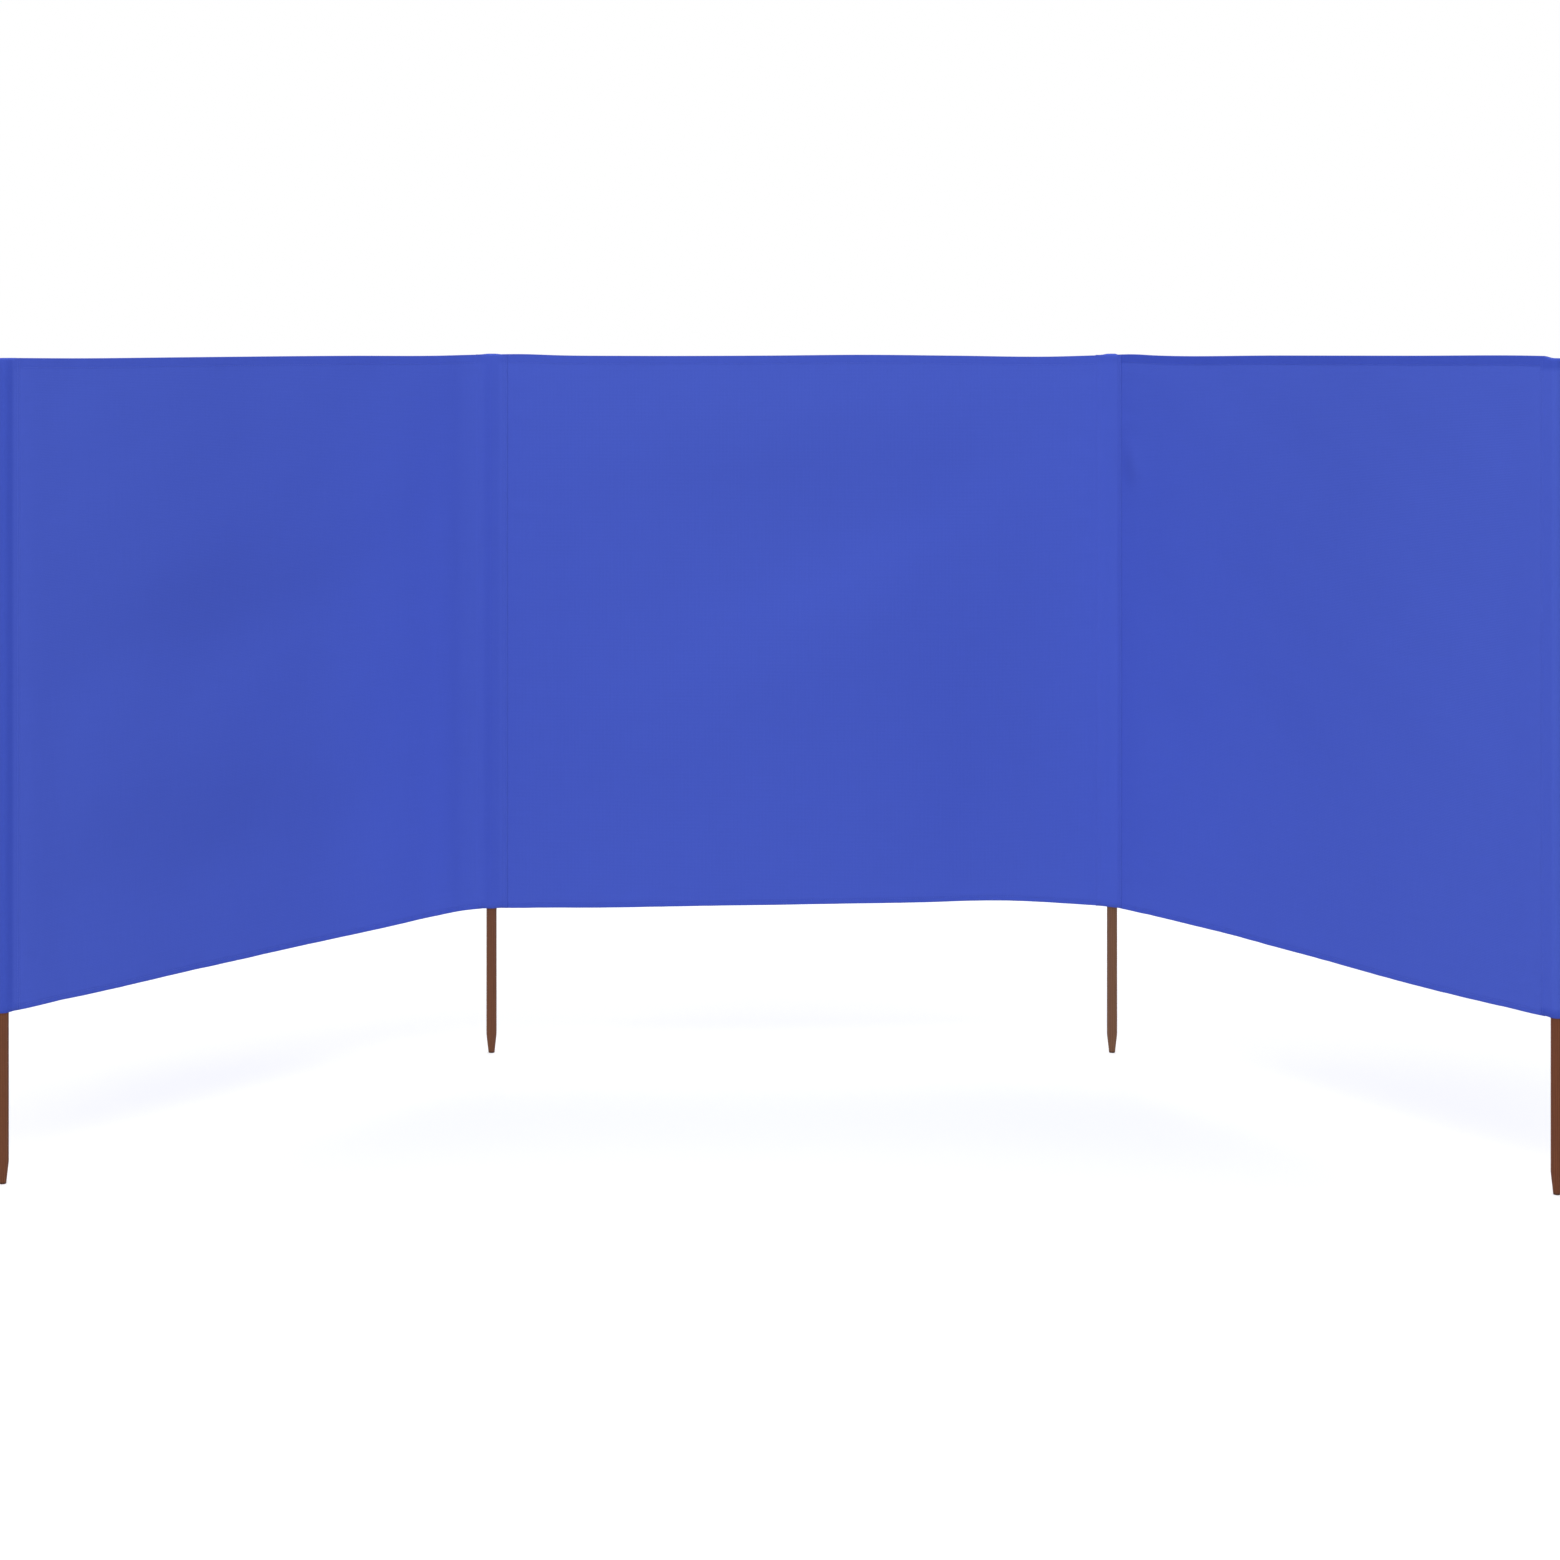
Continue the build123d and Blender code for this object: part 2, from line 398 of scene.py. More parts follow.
@dataclass(frozen=True)
class StainedPine:
    """Turned pine under a thin brown stain.

    The eye gets a red-brown with long dark grain lines that open into arches where the rings are cut across,
    a dull half-matt surface, and a nearly black end grain that drank the stain.
    """

    name: str = "turned pine under brown stain"
    red_stain: str = "#663A24"
    grey_stain: str = "#70513D"
    end_grain: str = "#3A261D"
    end_grain_height: float = 5 * MM
    end_grain_share: float = 0.9
    ring_spacing: float = 3.5 * MM
    ring_stretch: float = 110 * MM
    ring_unevenness: float = 2.2
    fibre_width: float = 0.6 * MM
    fibre_length: float = 40 * MM
    fibre_weight: float = 0.55
    grain_contrast: float = 0.5
    grain_depth: float = 0.2 * MM
    grain_strength: float = 0.5
    dark_roughness: float = 0.72
    light_roughness: float = 0.5
    gloss: float = 0.15

    def build(self) -> Material:
        """Makes the material from the wood's own coordinates, which every pole carries.

        Returns:
            The material.
        """
        material = bpy.data.materials.new(self.name)
        tree = new_tree(material)
        place = add_node(tree, "Attribute", attribute_name="grain_at")["Vector"]
        stain = add_node(tree, "Attribute", attribute_name="stain")["Fac"]
        ring_scale = (1 / self.ring_spacing, 1 / self.ring_spacing, 1 / self.ring_stretch)
        ring_place = add_node(tree, "VectorMath", {0: place, 1: ring_scale}, operation="MULTIPLY")[0]
        inputs = {"Vector": ring_place, "Scale": BAND_REPEAT, "Distortion": self.ring_unevenness}
        inputs |= {"Detail": 2.0, "Detail Scale": 0.6}
        rings = add_node(tree, "TexWave", inputs, bands_direction="X", wave_profile="SAW")["Fac"]
        fibre_scale = (1 / self.fibre_width, 1 / self.fibre_width, 1 / self.fibre_length)
        fibre_place = add_node(tree, "VectorMath", {0: place, 1: fibre_scale}, operation="MULTIPLY")[0]
        fibres = add_node(tree, "TexNoise", {"Vector": fibre_place, "Scale": 1.0, "Detail": 4.0})["Fac"]
        inputs = {"Factor": self.fibre_weight, "A": rings, "B": fibres}
        grain = add_node(tree, "Mix", inputs, data_type="FLOAT")[0]
        tones = []
        for brightness in (1 - self.grain_contrast, 1 + self.grain_contrast):
            red = linear(self.red_stain, brightness)
            grey = linear(self.grey_stain, brightness)
            tones.append(add_node(tree, "Mix", {0: stain, 6: red, 7: grey}, data_type="RGBA")[2])
        side = add_node(tree, "Mix", {0: grain, 6: tones[0], 7: tones[1]}, data_type="RGBA")[2]
        height = add_node(tree, "SeparateXYZ", {0: place})["Z"]
        inputs = {"Value": height, "From Max": self.end_grain_height}
        inputs |= {"To Min": self.end_grain_share, "To Max": 0.0}
        is_end = add_node(tree, "MapRange", inputs)[0]
        end = linear(self.end_grain)
        colour = add_node(tree, "Mix", {0: is_end, 6: side, 7: end}, data_type="RGBA")[2]
        inputs = {"Value": grain, "To Min": self.dark_roughness, "To Max": self.light_roughness}
        roughness = add_node(tree, "MapRange", inputs)[0]
        inputs = {"Strength": self.grain_strength, "Distance": self.grain_depth, "Height": grain}
        bump = add_node(tree, "Bump", inputs)[0]
        inputs = {"Base Color": colour, "Roughness": roughness, "Normal": bump}
        inputs |= {"Specular IOR Level": self.gloss}
        shader = add_node(tree, "BsdfPrincipled", inputs)[0]
        add_node(tree, "OutputMaterial", {"Surface": shader})
        return material


@dataclass(frozen=True)
class StudioPaper:
    """Matt white background paper, fibrous and with no gloss.

    The eye gets plain white, with the object's shadow on it.
    """

    name: str = "matt white background paper"
    colour: str = "#F2F2F2"
    lift: float = 0.15
    fibre_size: float = 2 * MM
    fibre_depth: float = 0.1 * MM
    fibre_strength: float = 0.1
    roughness: float = 0.9
    gloss: float = 0.1

    def build(self) -> Material:
        """Makes the material, lifted to white for the rays that see it.

        Returns:
            The material.
        """
        material = bpy.data.materials.new(self.name)
        tree = new_tree(material)
        lift = add_node(tree, "Math", {0: seen_rays(tree), 1: self.lift}, operation="MULTIPLY")[0]
        fibres = add_node(tree, "TexNoise", {"Scale": 1 / self.fibre_size, "Detail": 2.0})["Fac"]
        inputs = {"Strength": self.fibre_strength, "Distance": self.fibre_depth, "Height": fibres}
        bump = add_node(tree, "Bump", inputs)[0]
        inputs = {"Base Color": linear(self.colour), "Roughness": self.roughness, "Normal": bump}
        inputs |= {"Specular IOR Level": self.gloss}
        inputs |= {"Emission Color": linear(WHITE), "Emission Strength": lift}
        shader = add_node(tree, "BsdfPrincipled", inputs)[0]
        add_node(tree, "OutputMaterial", {"Surface": shader})
        return material


@dataclass(frozen=True)
class PlanLine:
    """The middle of a bay's cloth seen from above: straight from each pole to a bend, which is rounded.

    Every bay bends to the right on its way from its left pole to its right one.
    """

    left: np.ndarray
    bend: np.ndarray
    right: np.ndarray
    radius: float

    @cached_property
    def before(self) -> np.ndarray:
        """The direction from the left pole to the bend."""
        return unit(self.bend - self.left)

    @cached_property
    def after(self) -> np.ndarray:
        """The direction from the bend to the right pole."""
        return unit(self.right - self.bend)

    @cached_property
    def turn(self) -> float:
        """The angle of the bend."""
        return math.acos(float(self.before @ self.after))

    def straight_run(self, pole: np.ndarray) -> float:
        """The length of the straight run between a pole and the rounding."""
        return float(np.linalg.norm(self.bend - pole)) - self.radius * math.tan(self.turn / 2)

    @cached_property
    def length(self) -> float:
        """The length from pole to pole along the cloth."""
        return self.straight_run(self.left) + self.radius * self.turn + self.straight_run(self.right)

    def at(self, along: np.ndarray) -> tuple[np.ndarray, np.ndarray]:
        """Finds places on the line.

        Args:
            along: Distances from the left pole, along the cloth.

        Returns:
            The points, and the directions to the outside there.
        """
        distance = np.asarray(along, float)[..., None]
        first_run = self.straight_run(self.left)
        out_before = turned_left(self.before)
        angle = np.clip((distance - first_run) / self.radius, 0, self.turn)
        first = self.left + self.before * np.minimum(distance, first_run)
        rounded = self.radius * (np.sin(angle) * self.before - (1 - np.cos(angle)) * out_before)
        last = self.after * np.maximum(distance - first_run - self.radius * self.turn, 0)
        outward = np.cos(angle) * out_before + np.sin(angle) * self.before
        return first + rounded + last, outward


@dataclass(frozen=True)
class EdgeLine:
    """How an edge of the cloth wanders: how far it lies above a straight line at some shares of the bay."""

    shares: tuple[float, ...]
    millimetres: tuple[float, ...]

    def rise_at(self, share: np.ndarray) -> np.ndarray:
        """Draws a smooth line through the given rises.

        Args:
            share: Shares of the bay's length from its left pole.

        Returns:
            How far the edge lies above its straight line, in metres.
        """
        known = np.array(self.shares)
        rises = np.array(self.millimetres) * MM
        slopes = np.gradient(rises, known)
        left = np.clip(np.searchsorted(known, share) - 1, 0, len(known) - 2)
        width = known[left + 1] - known[left]
        t = (share - known[left]) / width
        start = rises[left] * (1 + 2 * t) * (1 - t) ** 2 + slopes[left] * width * t * (1 - t) ** 2
        end = rises[left + 1] * t**2 * (3 - 2 * t) + slopes[left + 1] * width * t**2 * (t - 1)
        return start + end


@dataclass(frozen=True)
class SoftPatch:
    """A soft-edged oval on a bay, and how much of something its middle has.

    The amount is a distance to the outside for a swelling, or a share of the colour for painted light and
    shade. The middle is given as shares of the bay's length and height, and the reach and rise in metres.
    """

    along: float
    up: float
    reach: float
    rise: float
    amount: float
    lean_degrees: float = 0.0

    def amount_at(self, along: np.ndarray, up: np.ndarray, length: float, tall: float) -> np.ndarray:
        """Measures the patch.

        Args:
            along: Distances from the left pole.
            up: Heights above the bay's bottom edge.
            length: The bay's length.
            tall: The bay's height.

        Returns:
            How much of the amount there is.
        """
        lean = math.radians(self.lean_degrees)
        sideways = along - self.along * length
        upwards = up - self.up * tall
        across = (sideways * math.cos(lean) + upwards * math.sin(lean)) / self.reach
        over = (upwards * math.cos(lean) - sideways * math.sin(lean)) / self.rise
        return self.amount * np.exp(-(across**2 + over**2) / 2)


@dataclass(frozen=True)
class Ripples:
    """Small uneven waves: a sum of plain waves whose lengths and directions come from a seed."""

    depth: float
    shortest: float
    longest: float
    spread_degrees: float = 180.0
    heading_degrees: float = 0.0
    waves: int = 12

    def depth_at(self, seed: int, along: np.ndarray, up: np.ndarray) -> np.ndarray:
        """Measures the waves.

        Args:
            seed: What the waves are drawn from.
            along: Distances one way.
            up: Distances across that, or heights.

        Returns:
            How far the surface is moved to the outside.
        """
        chance = np.random.default_rng(seed)
        total = np.zeros(np.broadcast(along, up).shape)
        for _ in range(self.waves):
            wavelength = math.exp(chance.uniform(math.log(self.shortest), math.log(self.longest)))
            heading = math.radians(self.heading_degrees + self.spread_degrees * chance.uniform(-0.5, 0.5))
            phase = chance.uniform(0, 2 * math.pi)
            travel = along * math.cos(heading) + up * math.sin(heading)
            total = total + np.sin(2 * math.pi * travel / wavelength + phase) * wavelength / self.longest
        return self.depth * total / math.sqrt(self.waves)


@dataclass(frozen=True)
class StitchRun:
    """Where the stitches of one row lie: their middles, their directions and the way up from the cloth."""

    middles: np.ndarray
    along: np.ndarray
    up: np.ndarray


@dataclass(frozen=True)
class Stitches:
    """Straight lockstitching: short arched dashes of thread whose ends go down into the cloth."""

    pitch: float = 5 * MM
    length: float = 3.9 * MM
    thread_radius: float = 0.32 * MM
    arch: float = 0.3 * MM
    sides: int = 5

    def mesh(self, name: str, runs: list[StitchRun]) -> Mesh:
        """Makes one mesh of all the stitches of some rows.

        Args:
            name: The mesh's name.
            runs: The rows.

        Returns:
            The mesh.
        """
        middles = np.concatenate([run.middles for run in runs])[:, None, None]
        along = np.concatenate([run.along for run in runs])[:, None, None]
        up = np.concatenate([run.up for run in runs])[:, None, None]
        across = np.cross(along, up)
        # Each stitch has a ring of points at its start, its middle and its end
        place = np.array([-0.5, 0.0, 0.5])[:, None, None] * self.length
        height = np.array([-0.5, 1.0, -0.5])[:, None, None] * self.arch
        radius = np.array([0.7, 1.0, 0.7])[:, None, None] * self.thread_radius
        angle = (np.arange(self.sides) * 2 * math.pi / self.sides)[None, :, None]
        upwards = up * (height + radius * np.cos(angle))
        points = middles + along * place + upwards + across * radius * np.sin(angle)
        count, rings, sides = points.shape[:3]
        index = np.arange(count * rings * sides).reshape(count, rings, sides)
        near = index[:, :-1]
        far = index[:, 1:]
        quads = np.stack([near, np.roll(near, -1, 2), np.roll(far, -1, 2), far], axis=-1).reshape(-1, 4)
        caps = np.concatenate([index[:, 0, ::-1], index[:, -1]])
        mesh = bpy.data.meshes.new(name)
        mesh.from_pydata(points.reshape(-1, 3).tolist(), [], quads.tolist() + caps.tolist())
        mesh.shade_smooth()
        return mesh


STITCHES = Stitches()


@dataclass
class Pole:
    """One round pole with a softened top and a tapered, blunt foot.

    Its top may be sunk a little in its sleeve. The grain's pith lies off the pole, a different way for each,
    so that no two poles show the same grain.
    """

    name: str
    body: str
    stain: float
    seed: int
    sunk: float = 0.0
    radius: float = 11 * MM
    foot_radius: float = 6.5 * MM
    foot_round: float = 1.2 * MM
    foot_bevel: float = 0.3
    tip_length: float = 40 * MM
    tip_rows: int = 12
    # Where the taper eases into the round side, and how deep that takes it, as shares of the tip
    ease_from: float = 0.93
    ease_to: float = 1.08
    ease_depth: float = 0.025
    top_round: float = 3 * MM
    wander: Ripples = Ripples(0.12 * MM, 150 * MM, 700 * MM)
    columns: int = 48
    row_spacing: float = 20 * MM
    weld_distance: float = 0.01 * MM
    pith_offset: float = 30 * MM
    pith_turn_degrees: float = 75.0
    ring_shift: float = 0.4 * MM

    def outline(self, length: float) -> np.ndarray:
        """The pole's half outline, from the middle of its foot to the middle of its top.

        Args:
            length: The pole's length.

        Returns:
            Pairs of a radius and a height.
        """
        bevel = self.foot_round * self.foot_bevel
        foot = [(0.0, 0.0), (self.foot_radius - self.foot_round, 0.0), (self.foot_radius - bevel, bevel)]
        taper = (self.radius - self.foot_radius) / self.tip_length
        heights = np.linspace(self.foot_round, self.tip_length * self.ease_from, self.tip_rows)
        sides = [(self.foot_radius + taper * height, height) for height in heights]
        sides.append((self.radius - taper * self.tip_length * self.ease_depth, self.tip_length))
        shoulder = length - self.top_round
        rows = int((shoulder - self.tip_length) / self.row_spacing)
        heights = np.linspace(self.tip_length * self.ease_to, shoulder, rows)
        sides.extend((self.radius, height) for height in heights)
        inner = self.radius - self.top_round
        top = []
        for angle in np.radians((22.5, 45.0, 67.5, 90.0)):
            rise = self.top_round * math.sin(angle)
            top.append((inner + self.top_round * math.cos(angle), shoulder + rise))
        return np.array([*foot, *sides, *top, (0.0, length)])

    def build(self, material: Material) -> Object:
        """Turns the pole, a little unevenly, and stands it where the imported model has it.

        Args:
            material: The pole's finish.

        Returns:
            The pole.
        """
        low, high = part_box(f"{self.name}_pole")
        outline = self.outline(high.z - low.z - self.sunk)
        angle = np.arange(self.columns) * 2 * math.pi / self.columns
        radius = outline[:, :1]
        height = np.broadcast_to(outline[:, 1:], (len(outline), self.columns))
        girth = 2 * math.pi * self.radius
        # Two samples a whole girth apart are mixed, so that the unevenness meets itself behind
        share = angle / (2 * math.pi)
        wander = self.wander.depth_at(self.seed, share * girth, height) * (1 - share)
        wander = wander + self.wander.depth_at(self.seed, share * girth - girth, height) * share
        radius = radius - np.abs(wander) * np.minimum(radius / self.radius, 1)
        local = np.stack([radius * np.cos(angle), radius * np.sin(angle), height], axis=-1)
        stand = np.array([*pole_place(self.name), low.z])
        mesh = grid_mesh(f"{self.name}_pole_wood", [local + stand], closed=True)
        turn = math.radians(self.pith_turn_degrees * self.seed)
        grain = local.reshape(-1, 3).copy()
        grain[:, 0] += self.pith_offset * math.cos(turn) + self.ring_shift * self.seed
        grain[:, 1] += self.pith_offset * math.sin(turn)
        paint(mesh, "grain_at", grain)
        paint(mesh, "stain", np.full(len(grain), self.stain))
        shape = bmesh.new()
        shape.from_mesh(mesh)
        bmesh.ops.remove_doubles(shape, verts=shape.verts, dist=self.weld_distance)
        shape.to_mesh(mesh)
        shape.free()
        mesh.shade_smooth()
        piece = new_piece(mesh, material, Slot.WOOD)
        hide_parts(f"{self.name}_pole")
        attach(piece, self.body)
        return piece


@dataclass(frozen=True)
class ClothGrid:
    """Points on cloth in rows and columns, with what its finish reads at each.

    That is how far across the weave the point is, how much painted shade it gets for two plies, a fold or
    the pole under it, and the painted light and shade that the colour is multiplied by.
    """

    points: np.ndarray
    across: np.ndarray
    painted_shade: np.ndarray
    painted_light_and_shade: np.ndarray


@dataclass(frozen=True)
class Cloth:
    """The cloth that the sheets and sleeves are cut from, and how its hems and seams are sewn."""

    thickness: float = 0.7 * MM
    top_hem: float = 20 * MM
    bottom_hem: float = 12 * MM
    stitch_inset: float = 3 * MM

    def piece(self, name: str, grids: list[ClothGrid], material: Material) -> Object:
        """Makes one piece of cloth.

        Args:
            name: The piece's name.
            grids: The middle of the cloth, strip by strip.
            material: The cloth's finish.

        Returns:
            The piece, which doesn't ride on anything yet.
        """
        mesh = grid_mesh(name, [grid.points for grid in grids])
        weave = [np.stack([grid.across, grid.points[..., 2], 0 * grid.across], axis=-1) for grid in grids]
        paint(mesh, "weave_at", np.concatenate([place.reshape(-1, 3) for place in weave]))
        # Painted shade, and soft patches of painted light and shade, for the material to read
        paint(mesh, "painted_shade", np.concatenate([grid.painted_shade.ravel() for grid in grids]))
        paint(mesh, "painted_light_and_shade", np.concatenate([grid.painted_light_and_shade.ravel() for grid in grids]))
        piece = new_piece(mesh, material, Slot.CLOTH)
        thicken(piece, self.thickness)
        return piece


CLOTH = Cloth()


@dataclass
class BaySheet:
    """One bay's sheet of cloth, with a hem turned to the outside along its top and bottom edges.

    In the seams it is shifted a little in front of the poles' middles, so that the sleeves bulge more at
    the rear. It billows between the seams, has short level puckers where the sleeve's stitching draws it up,
    and upright ones along the hems.
    """

    name: str
    line: PlanLine
    low: float
    high: float
    seed: int
    left_shift: float
    right_shift: float
    top_line: EdgeLine
    bottom_line: EdgeLine
    billows: tuple[SoftPatch, ...]
    # Soft patches of painted light and shade, multiplied into the colour
    light_and_shade_patches: tuple[SoftPatch, ...]
    dimples: tuple[SoftPatch, ...] = ()
    # How much painted shade the hems get, for their two plies
    top_hem_shade: float = 0.35
    bottom_hem_shade: float = 0.35
    seam_start: float = 22.5 * MM
    seam_end: float = 38 * MM
    seam_ease: float = 14 * MM
    shift_reach: float = 110 * MM
    billow_reach: float = 160 * MM
    slack: Ripples = Ripples(1.6 * MM, 160 * MM, 420 * MM)
    puckers: Ripples = Ripples(0.7 * MM, 26 * MM, 75 * MM, 24.0, 90.0)
    pucker_reach: float = 38 * MM
    hem_waves: Ripples = Ripples(0.8 * MM, 30 * MM, 110 * MM, 30.0, 0.0)
    hem_wave_reach: float = 16 * MM
    hem_wave_ease: float = 40 * MM
    fold_radius: float = 0.65 * MM
    # In the seams the hem is pressed to this share of its thickness
    pressed_share: float = 0.7
    press_reach: float = 30 * MM
    # How far apart the mesh's lines are: in the open, near the poles and edges, and in the hems
    grid: float = 11 * MM
    fine_grid: float = 5 * MM
    fine_reach: float = 150 * MM
    fine_margin: float = 60 * MM
    hem_grid: float = 2.5 * MM
    hem_margin: float = 25 * MM

    @property
    def tall(self) -> float:
        """The sheet's height, with its hems folded."""
        return self.high - self.low

    def edge(self, edge: Edge, along: np.ndarray) -> np.ndarray:
        """The height of the top or bottom edge.

        Args:
            edge: Which edge.
            along: Distances from the left pole.

        Returns:
            Heights.
        """
        share = np.clip(along / self.line.length, 0, 1)
        if edge is Edge.TOP:
            return self.high + self.top_line.rise_at(share)
        return self.low + self.bottom_line.rise_at(share)

    def patched(self, patches: tuple[SoftPatch, ...], along: np.ndarray, up: np.ndarray) -> np.ndarray:
        """What some patches add up to, at distances from the left pole and above the bay's low line."""
        return sum(patch.amount_at(along, up, self.line.length, self.tall) for patch in patches)

    def swell(self, along: np.ndarray, height: np.ndarray) -> np.ndarray:
        """How far the cloth lies outside its plan line.

        Args:
            along: Distances from the left pole.
            height: Heights.

        Returns:
            Distances to the outside.
        """
        up = height - self.low
        from_seam = np.minimum(along, self.line.length - along) - self.seam_end
        from_edge = np.minimum(height - self.edge(Edge.BOTTOM, along), self.edge(Edge.TOP, along) - height)
        past_seam = ease(from_seam / self.seam_ease)
        billow = self.patched(self.billows, along, up) + self.slack.depth_at(self.seed, along, up)
        total = billow * ease(from_seam / self.billow_reach)
        total = total + self.patched(self.dimples, along, up) * past_seam
        shift = np.where(along < self.line.length / 2, self.left_shift, self.right_shift)
        total = total - shift * (1 - ease(from_seam / self.shift_reach))
        near_seam = past_seam * np.exp(-np.maximum(from_seam, 0) / self.pucker_reach)
        total = total + self.puckers.depth_at(self.seed + 1, along, up) * near_seam
        near_hem = np.exp(-np.maximum(from_edge, 0) / self.hem_wave_reach)
        near_hem = near_hem * ease(from_seam / self.hem_wave_ease)
        return total + self.hem_waves.depth_at(self.seed + 2, along, up) * near_hem

    def painted_light_and_shade(self, along: np.ndarray, height: np.ndarray) -> np.ndarray:
        """The painted light and shade that the cloth's colour is multiplied by, at distances from the left
        pole and heights.
        """
        return 1 + self.patched(self.light_and_shade_patches, along, height - self.low)

    def place(self, along: np.ndarray, height: np.ndarray, out: np.ndarray | float = 0.0) -> np.ndarray:
        """Finds points on the cloth.

        Args:
            along: Distances from the left pole.
            height: Heights.
            out: How far outside the cloth's middle the points lie.

        Returns:
            The points.
        """
        middle, outward = self.line.at(along)
        plan = middle + outward * (self.swell(along, height) + out)[..., None]
        return np.concatenate([plan, np.broadcast_to(height[..., None], plan.shape[:-1] + (1,))], axis=-1)

    def columns(self) -> np.ndarray:
        """The columns of the mesh, closer together near the poles.

        Returns:
            Distances from the left pole.
        """
        start = self.seam_start
        end = self.line.length - self.seam_start
        fine = np.arange(0, self.fine_reach, self.fine_grid)
        wide = end - start - 2 * self.fine_reach
        middle = np.linspace(start + self.fine_reach, end - self.fine_reach, round(wide / self.grid) + 1)
        return np.concatenate([start + fine, middle, (end - fine)[::-1]])

    def hem_rows(self, depth: float) -> np.ndarray:
        """The rows of a hem, from the turned-back edge round the fold to the cloth's face.

        Args:
            depth: The hem's depth.

        Returns:
            Rows of a distance in from the fold's edge and a distance to the outside.
        """
        radius = self.fold_radius
        flap = [(depth * share, 2 * radius) for share in (1.0, 0.75, 0.5, 0.25)]
        angles = np.radians([0.0, 35.0, 70.0, 110.0, 145.0, 180.0])
        fold = [(radius * (1 - math.sin(angle)), radius * (1 + math.cos(angle))) for angle in angles]
        return np.array(flap + fold)

    def rows(self) -> tuple[np.ndarray, np.ndarray, np.ndarray, np.ndarray]:
        """The rows of the mesh from the bottom hem's turned-back edge up to the top hem's.

        Returns:
            For each row its share of the height, the distance above that, the distance to the outside, and
            how much painted shade it gets, for two plies or a fold.
        """
        bottom = self.hem_rows(CLOTH.bottom_hem)
        top = self.hem_rows(CLOTH.top_hem)[::-1]
        tall = self.tall
        hem = np.arange(1, round(self.hem_margin / self.hem_grid)) * self.hem_grid
        edge = np.concatenate([hem, np.arange(self.hem_margin, self.fine_margin, self.fine_grid)])
        open_rows = round((tall - 2 * self.fine_margin) / self.grid) + 1
        wide = np.linspace(self.fine_margin, tall - self.fine_margin, open_rows)
        face = np.concatenate([edge, wide, tall - edge[::-1]])
        share = np.concatenate([np.zeros(len(bottom)), face / tall, np.ones(len(top))])
        above = np.concatenate([bottom[:, 0], np.zeros(len(face)), -top[:, 0]])
        out = np.concatenate([bottom[:, 1], np.zeros(len(face)), top[:, 1]])
        # Painted shade on the hems, where two plies lie together
        painted_hem_shade = (face < CLOTH.bottom_hem) * self.bottom_hem_shade
        painted_hem_shade = painted_hem_shade + (face > tall - CLOTH.top_hem) * self.top_hem_shade
        painted_shade = [np.full(len(bottom), self.bottom_hem_shade), painted_hem_shade, np.full(len(top), self.top_hem_shade)]
        # The folds themselves, and not the flaps beside them, get the most painted shade, for the dark line
        # along a fold
        is_fold = (np.abs(above) < self.fold_radius * 1.1) & ((share == 0) | (share == 1))
        return share, above, out, np.where(is_fold, 1.0, np.concatenate(painted_shade))

    def build(self, material: Material) -> Object:
        """Makes the sheet with its hems as one piece of cloth.

        Args:
            material: The cloth's finish.

        Returns:
            The sheet, which doesn't ride on anything yet.
        """
        share, above, out, painted_shade = self.rows()
        along = self.columns()
        bottom = self.edge(Edge.BOTTOM, along)
        top = self.edge(Edge.TOP, along)
        height = bottom + share[:, None] * (top - bottom) + above[:, None]
        from_seam = np.minimum(along, self.line.length - along) - self.seam_end
        pressed = self.pressed_share + (1 - self.pressed_share) * ease(from_seam / self.press_reach)
        across = np.broadcast_to(along, height.shape)
        points = self.place(across, height, out[:, None] * pressed)
        painted_shade = np.broadcast_to(painted_shade[:, None], height.shape)
        grid = ClothGrid(points, across, painted_shade, self.painted_light_and_shade(across, height))
        piece = CLOTH.piece(f"{self.name}_sheet", [grid], material)
        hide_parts(f"{self.name}_cloth", f"{self.name}_top_hem", f"{self.name}_bottom_hem")
        return piece

    def flat_size(self) -> tuple[float, float]:
        """The size that the sheet was cut to, with its hems unfolded."""
        return self.line.length - 2 * self.seam_start, self.tall + CLOTH.top_hem + CLOTH.bottom_hem

    def stitch_runs(self) -> list[StitchRun]:
        """Sews both hems, with stitches that show on both faces.

        Returns:
            The rows of stitches.
        """
        runs = []
        step = 1 * MM
        front_out = -CLOTH.thickness / 2
        rear_out = 2 * self.fold_radius + CLOTH.thickness / 2
        along = np.arange(self.seam_end + STITCHES.pitch, self.line.length - self.seam_end, STITCHES.pitch)
        for edge, depth, inwards in ((Edge.BOTTOM, CLOTH.bottom_hem, 1), (Edge.TOP, CLOTH.top_hem, -1)):
            height = self.edge(edge, along) + inwards * (depth - CLOTH.stitch_inset)
            ahead = unit(self.place(along + step, height) - self.place(along - step, height))
            upward = self.place(along, height + step) - self.place(along, height - step)
            front = unit(np.cross(ahead, upward))
            runs.append(StitchRun(self.place(along, height, front_out), ahead, front))
            runs.append(StitchRun(self.place(along, height, rear_out), ahead, -front))
        return runs


